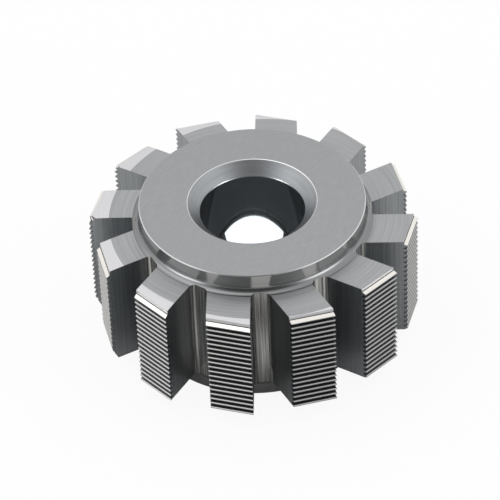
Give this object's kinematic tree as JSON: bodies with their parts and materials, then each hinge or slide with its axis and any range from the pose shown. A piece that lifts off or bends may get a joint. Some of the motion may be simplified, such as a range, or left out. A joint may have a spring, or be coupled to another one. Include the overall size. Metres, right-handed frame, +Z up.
{
  "type": "spline hob",
  "caption": "Arbor-mounted spline hob with straight gashes, fine relieved ridges on one right-hand thread, two hubs and a plain bore.",
  "frame": {"origin": "on the bore's axis, in the plane of the lower hub face that it stands on", "axes": "+Z up along the bore, towards the hub face on top; one tooth's rake face lies on +X, facing +Y"},
  "size_m": [0.085, 0.085, 0.0406],
  "materials": {
    "ground_steel": "ground tool steel, bright on the crests and dark in the gashes"
  },
  "bodies": {
    "root": {"spline_hob": "ground_steel"}
  },
  "joints": []
}
